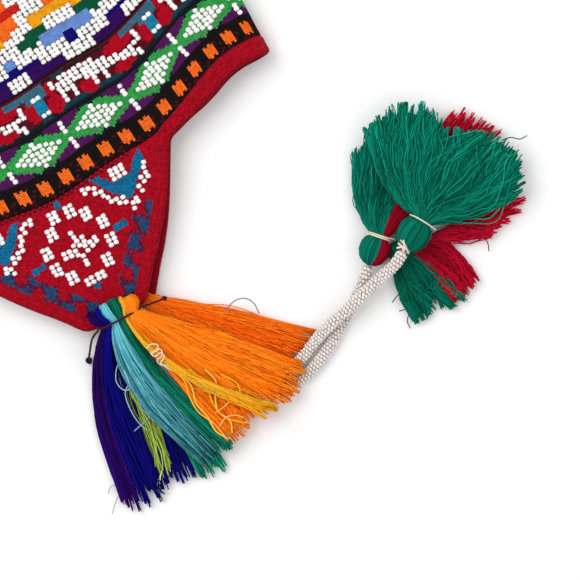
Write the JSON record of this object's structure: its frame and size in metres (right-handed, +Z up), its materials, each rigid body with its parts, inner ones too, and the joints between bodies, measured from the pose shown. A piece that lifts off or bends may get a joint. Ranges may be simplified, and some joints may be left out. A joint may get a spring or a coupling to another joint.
{
  "type": "beaded chullo hat",
  "caption": "Knitted hat with ear flaps lying flat, with bead pattern bands, red bound edge, rainbow yarn tassels on the flap tips and beaded straps ending in green and red tassels.",
  "frame": {"origin": "on the surface that the hat lies on, below the middle of the crown", "axes": "+Z up from the surface through both layers, +Y from the rim to the top of the crown, +X to the right of the layer that is seen"},
  "size_m": [0.3522, 0.4006, 0.0233],
  "materials": {
    "crown_knit": "knitted wool",
    "flap_knit": "knitted wool",
    "binding_red": "knitted wool edge",
    "yarn_purple": "acrylic yarn",
    "yarn_navy": "acrylic yarn",
    "yarn_sky": "acrylic yarn",
    "yarn_green": "acrylic yarn",
    "yarn_yellow": "acrylic yarn",
    "yarn_orange": "acrylic yarn",
    "yarn_lime": "acrylic yarn",
    "yarn_red": "acrylic yarn",
    "yarn_crimson": "acrylic yarn",
    "white_beads": "opaque glossy seed beads",
    "tie_cord": "twisted cord"
  },
  "bodies": {
    "root": {"crown": "crown_knit", "ear_flap_front": "flap_knit", "ear_flap_back": "flap_knit", "edge_binding": "binding_red", "front_tassel_purple": "yarn_purple", "front_tassel_navy": "yarn_navy", "front_tassel_sky": "yarn_sky", "front_tassel_green": "yarn_green", "front_tassel_yellow": "yarn_yellow", "front_tassel_orange": "yarn_orange", "back_tassel_lime": "yarn_lime", "back_tassel_navy": "yarn_navy", "back_tassel_green": "yarn_green", "back_tassel_orange": "yarn_orange", "left_end_tassel_green": "yarn_green", "left_end_tassel_red": "yarn_red", "upper_end_tassel_green": "yarn_green", "lower_end_tassel_crimson": "yarn_crimson", "lower_end_tassel_red": "yarn_red", "lower_end_tassel_green": "yarn_green", "front_tassel_tie": "tie_cord", "beaded_strap_back": "white_beads", "beaded_strap_front": "white_beads"}
  },
  "joints": []
}
